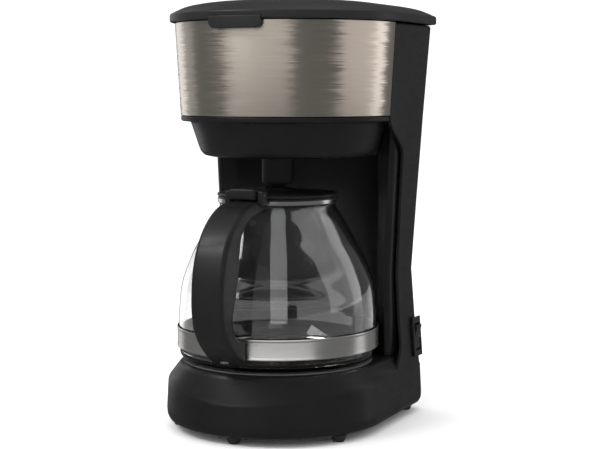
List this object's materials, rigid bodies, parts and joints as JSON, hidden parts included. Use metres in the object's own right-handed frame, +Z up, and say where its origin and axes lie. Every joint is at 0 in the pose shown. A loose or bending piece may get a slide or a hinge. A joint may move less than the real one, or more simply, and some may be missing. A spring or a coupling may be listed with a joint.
{
  "type": "drip coffee maker",
  "caption": "Compact drip coffee maker: round base with hotplate, hollow column, brushed steel band round the brew head, hinged lid and a banded glass jug with a looped handle.",
  "frame": {"origin": "centre of the whole object's box at the level of the feet, which is also the foot of the jug's axis", "axes": "+Z up, front with the jug's handle towards -Y, the switch side towards +X"},
  "size_m": [0.139, 0.176, 0.248],
  "materials": {
    "housing_plastic": "satin, finely textured black",
    "inner_plastic": "satin dark grey",
    "tank_plastic": "translucent grey",
    "band_steel": "brushed along the band, warm tint",
    "polished_steel": "bright, lightly brushed",
    "fastener_steel": "zinc plated",
    "aluminium": "extruded",
    "hotplate_coat": "black non-stick coat",
    "silicone": "translucent silicone",
    "black_rubber": "matte",
    "glass": "clear",
    "filter_mesh": "fine nylon mesh",
    "ceramic": "light moulded insulator",
    "brass": "bare"
  },
  "bodies": {
    "root": {"main_housing": "housing_plastic", "bottom_cover": "housing_plastic", "column_panel": "housing_plastic", "brew_head": "housing_plastic", "steel_band": "band_steel", "water_tank": "tank_plastic", "hotplate": "hotplate_coat", "hotplate_seal": "silicone", "heating_element": "fastener_steel", "water_channel": "aluminium", "heater_clamp": "fastener_steel", "clamp_screw_left": "fastener_steel", "clamp_screw_right": "fastener_steel", "thermostat": "ceramic", "thermal_fuse": "brass", "inlet_hose": "silicone", "outlet_hose": "silicone", "check_valve_body": "inner_plastic", "riser_tube": "fastener_steel", "riser_grommet": "silicone", "outlet_spout": "inner_plastic", "filter_basket": "inner_plastic", "filter_mesh": "filter_mesh", "filter_rim": "housing_plastic", "switch_body": "housing_plastic", "terminal_block": "ceramic", "cord_gland": "black_rubber", "supply_wire": "black_rubber", "switch_wire": "black_rubber", "heater_wire": "black_rubber", "foot_front": "black_rubber", "foot_left": "black_rubber", "foot_right": "black_rubber", "foot_rear_left": "black_rubber", "foot_rear_right": "black_rubber", "cover_screw_front_left": "fastener_steel", "cover_screw_front_right": "fastener_steel", "cover_screw_rear_left": "fastener_steel", "cover_screw_rear_right": "fastener_steel", "hinge_pin_left": "fastener_steel", "hinge_pin_right": "fastener_steel"},
    "lid": {"lid": "housing_plastic"},
    "rocker": {"switch_rocker": "housing_plastic"},
    "drip_valve": {"drip_valve": "inner_plastic", "valve_seal": "silicone", "valve_spring": "fastener_steel"},
    "valve_ball": {"check_valve_ball": "black_rubber"},
    "jug": {"jug_glass": "glass", "jug_band": "polished_steel", "jug_collar": "housing_plastic", "jug_handle": "housing_plastic", "jug_lid": "housing_plastic", "jug_lid_pin": "fastener_steel", "collar_screw": "fastener_steel", "handle_screw": "fastener_steel"}
  },
  "joints": [
    {"name": "lid_hinge", "type": "hinge", "parent": "root", "child": "lid", "pos_m": [0, 0.086, 0.2373], "axis": [-1, 0, 0], "range_deg": [0, 95]},
    {"name": "jug_slide", "type": "slide", "parent": "root", "child": "jug", "axis": [0, -1, 0], "range_m": [0, 0.15]},
    {"name": "valve_slide", "type": "slide", "parent": "root", "child": "drip_valve", "axis": [0, 0, 1], "range_m": [0, 0.004], "stiffness_N_per_m": 150, "springref_m": -0.004, "deforming": ["valve_spring"]},
    {"name": "rocker_pivot", "type": "hinge", "parent": "root", "child": "rocker", "pos_m": [0.062, 0.0638, 0.0466], "axis": [0, -1, 0], "range_deg": [0, 16]},
    {"name": "ball_lift", "type": "slide", "parent": "root", "child": "valve_ball", "axis": [0, 0, 1], "range_m": [0, 0.003]}
  ]
}
